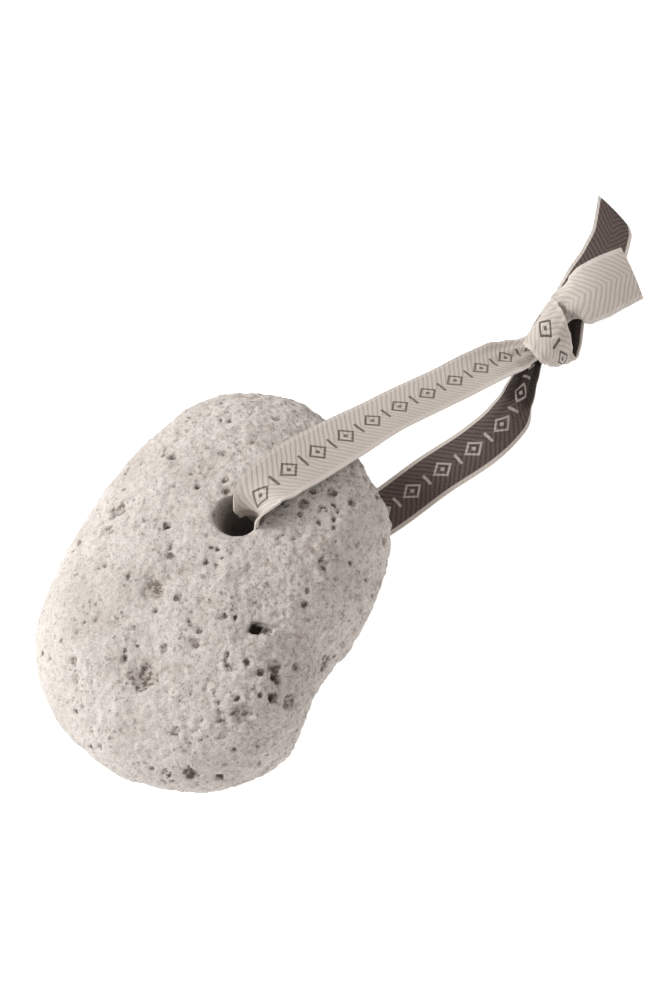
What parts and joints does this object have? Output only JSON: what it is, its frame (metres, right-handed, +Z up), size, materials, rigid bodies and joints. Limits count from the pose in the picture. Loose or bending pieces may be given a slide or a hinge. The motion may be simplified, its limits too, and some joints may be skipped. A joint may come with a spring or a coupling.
{
  "type": "pumice stone",
  "caption": "Natural pumice stone, drilled through and threaded on a knotted loop of woven ribbon to hang it by.",
  "frame": {"origin": "the point of the worn flat patch under the stone's centre of mass", "axes": "+Z up out of the resting surface, through the stone's thickness; +X and +Y towards the side where the ribbon's knot lies"},
  "size_m": [0.1442, 0.1631, 0.0429],
  "materials": {
    "pumice": "matt, porous, warm pale grey",
    "woven_ribbon": "woven herringbone, cream outside and dark taupe inside"
  },
  "bodies": {
    "root": {"pumice_stone": "pumice", "ribbon": "woven_ribbon"}
  },
  "joints": []
}
